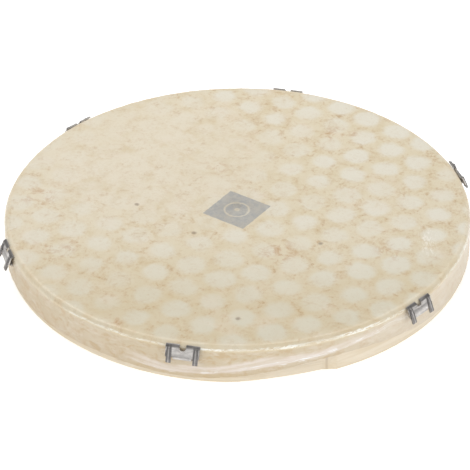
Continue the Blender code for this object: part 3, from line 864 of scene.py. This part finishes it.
def screw_rows(low, shank_top):
    """Socket cap screw, head down: hexagon socket, knurled cap and a real helical thread."""
    soft = 0.5 * MM
    cap_top = low + CAP_H

    def fixed(radius, height):
        return lambda angle: (radius, height)

    def hexagon(height, grow=1.0):
        def row(angle):
            return grow * SOCKET_R / math.cos((angle % (math.pi / 3)) - math.pi / 6), height
        return row

    def knurl(height, share):
        def row(angle):
            return CAP_R - KNURL_DEPTH * share * (0.5 + 0.5 * math.cos(KNURLS * angle)), height
        return row

    def thread(height):
        def row(angle):
            turn = (height / THREAD_PITCH - angle / (2 * math.pi)) % 1
            return THREAD_R - THREAD_DEPTH * abs(2 * turn - 1), height
        return row

    rows = [hexagon(low + SOCKET_DEPTH, 0.02), hexagon(low + SOCKET_DEPTH)]
    rows += [hexagon(low + 0.25 * MM), hexagon(low, 1.1)]
    rows += [fixed(CAP_R - 1.1 * soft, low), fixed(CAP_R - 0.3 * soft, low + 0.3 * soft)]
    knurled = CAP_H - 1.6 * soft
    for i in range(7):
        rows.append(knurl(low + soft + knurled * i / 6, math.sin(math.pi * i / 6) ** 0.3))
    rows += [fixed(CAP_R - 0.3 * soft, cap_top), fixed(THREAD_R, cap_top)]
    rows += [fixed(THREAD_R, cap_top + 1.2 * MM)]
    steps = int((shank_top - cap_top - 2.4 * MM) / (THREAD_PITCH / 6))
    rows += [thread(cap_top + 1.8 * MM + THREAD_PITCH / 6 * i) for i in range(steps)]
    rows.append(fixed(THREAD_R - THREAD_DEPTH, shank_top - 0.4 * MM))
    rows.append(fixed(THREAD_R - 1.2 * MM, shank_top))
    return rows


def make_screws(steel):
    """Six tension screws that share one mesh."""
    low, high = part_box("tension_screw_1")
    shape = add_mesh("screw_shape", revolved(screw_rows(low.z, high.z), SCREW_COLUMNS), 38)
    mesh = shape.data
    mesh.materials.append(steel)
    bpy.data.objects.remove(shape)
    for number, angle in enumerate(STATION_ANGLES, 1):
        screw = bpy.data.objects.new(f"threaded_screw_{number}", mesh)
        at = middle(f"tension_screw_{number}")
        screw.matrix_world = Matrix.Translation((at.x, at.y, 0)) @ turned(angle)
        bpy.context.scene.collection.objects.link(screw)
        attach(screw, f"screw_{number}_body")
        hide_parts(f"tension_screw_{number}")


# ---------------------------------------------------------------- stage, light and camera

FLOOR_HALF = 6.0
FLOOR_GLOW = 0.46
WORLD_LIGHT = 0.49

# (name, place, size, watts, target), in metres.
LAMPS = (
    ("back_top", (-0.1, 0.8, 1.2), (1.4, 0.6), 9.2, (0, 0.1, 0)),
    ("front_high", (-0.3, -1.4, 1.8), (1.8, 0.6), 7.4, (0, 0, 0)),
    ("front_right", (1.8, -1.6, 0.9), (1.6, 0.9), 8.5, (0, 0, 0)),
    ("front_left", (-1.4, -1.6, 1.3), (1.4, 0.9), 2.6, (0, 0, 0)),
)

CAMERA_AWAY = 1.8794
CAMERA_UP = math.radians(34.751)
CAMERA_ROLL = -0.00678
CAMERA_LENS = 165.78
CAMERA_SHIFT = (-0.00567, 0.0104)


def make_stage():
    """A plain pale floor that glows a little, as a light table does."""
    mesh = bpy.data.meshes.new("floor")
    half = FLOOR_HALF
    corners = [(-half, -half, 0), (half, -half, 0), (half, half, 0), (-half, half, 0)]
    mesh.from_pydata(corners, [], [(0, 1, 2, 3)])
    floor = bpy.data.objects.new("floor", mesh)
    floor.location.z = -0.2 * MM
    bpy.context.scene.collection.objects.link(floor)
    shader = Shader("studio_floor")
    shader.set(Base_Color=(0.9, 0.9, 0.9, 1), Roughness=0.9)
    shader.set(Emission_Color=(1, 1, 1, 1), Emission_Strength=FLOOR_GLOW)
    mesh.materials.append(shader.material)


def area_light(name, at, size, power, target):
    """A rectangular lamp that faces its target."""
    data = bpy.data.lights.new(name, "AREA")
    data.shape = "RECTANGLE"
    data.size, data.size_y = size
    data.energy = power
    lamp = bpy.data.objects.new(name, data)
    lamp.location = at
    lamp.rotation_euler = (Vector(target) - Vector(at)).to_track_quat("-Z", "Y").to_euler()
    bpy.context.scene.collection.objects.link(lamp)


def make_light():
    """Soft even studio light: a pale world, and large lamps behind, above and in front."""
    world = bpy.data.worlds.new("studio")
    world.use_nodes = True
    background = world.node_tree.nodes["Background"]
    background.inputs["Color"].default_value = (1.0, 1.0, 1.0, 1.0)
    background.inputs["Strength"].default_value = WORLD_LIGHT
    bpy.context.scene.world = world
    for lamp in LAMPS:
        area_light(*lamp)


def make_camera():
    """The view from in front and above, through a long lens."""
    data = bpy.data.cameras.new("camera")
    data.sensor_width = 36.0
    data.lens = CAMERA_LENS
    data.shift_x, data.shift_y = CAMERA_SHIFT
    data.clip_end = 50
    camera = bpy.data.objects.new("camera", data)
    right = Vector((1, 0, 0))
    back = Vector((0, -math.cos(CAMERA_UP), math.sin(CAMERA_UP)))
    up = back.cross(right)
    across = math.cos(CAMERA_ROLL) * right + math.sin(CAMERA_ROLL) * up
    over = -math.sin(CAMERA_ROLL) * right + math.cos(CAMERA_ROLL) * up
    turn = Matrix((across, over, back)).transposed().to_4x4()
    camera.matrix_world = Matrix.Translation(back * CAMERA_AWAY) @ turn
    bpy.context.scene.collection.objects.link(camera)
    bpy.context.scene.camera = camera


# ---------------------------------------------------------------- the CAD nodes that still show

# The two tones of each.
TONES = {
    "shell_ring": (srgb(222, 196, 152), srgb(196, 158, 108)),
    "lower_ring": (srgb(236, 224, 203), srgb(224, 208, 180)),
    "flesh_hoop": (srgb(206, 178, 132), srgb(170, 132, 88)),
    "square_nut": (srgb(196, 192, 182), srgb(150, 146, 136)),
    "washer": (srgb(200, 200, 200), srgb(160, 160, 162)),
    "bracket": (srgb(186, 186, 190), srgb(142, 142, 148)),
    "wood_screw": (srgb(214, 186, 120), srgb(176, 146, 84)),
}


def finish_nodes():
    """Gives every CAD node that still shows its own material."""
    looks = {
        "shell_ring": bent_wood("shell_wood", *TONES["shell_ring"]),
        "lower_ring": bent_wood("ring_wood", *TONES["lower_ring"], joint_deg=LAP_DEG),
        "flesh_hoop": bent_wood("hoop_wood", *TONES["flesh_hoop"]),
        "square_nut": plated_steel("nut_steel", *TONES["square_nut"], 0.3),
        "washer": plated_steel("washer_steel", *TONES["washer"], 0.28),
        "bracket": plated_steel("bracket_steel", *TONES["bracket"], 0.36, (0.2, 0.2, 3.0)),
        "wood_screw": plated_steel("brass_plate", *TONES["wood_screw"], 0.3),
    }
    for name, node in nodes.items():
        key = next((k for k in looks if name.startswith(k)), None)
        if key is None:
            continue
        node.data.materials.clear()
        node.data.materials.append(looks[key])


bpy.context.scene.view_settings.view_transform = "Standard"
make_camera()
make_light()
make_stage()
make_head()
make_claws()
make_screws(plated_steel("screw_steel", srgb(150, 150, 154), srgb(96, 96, 101), 0.3))
finish_nodes()
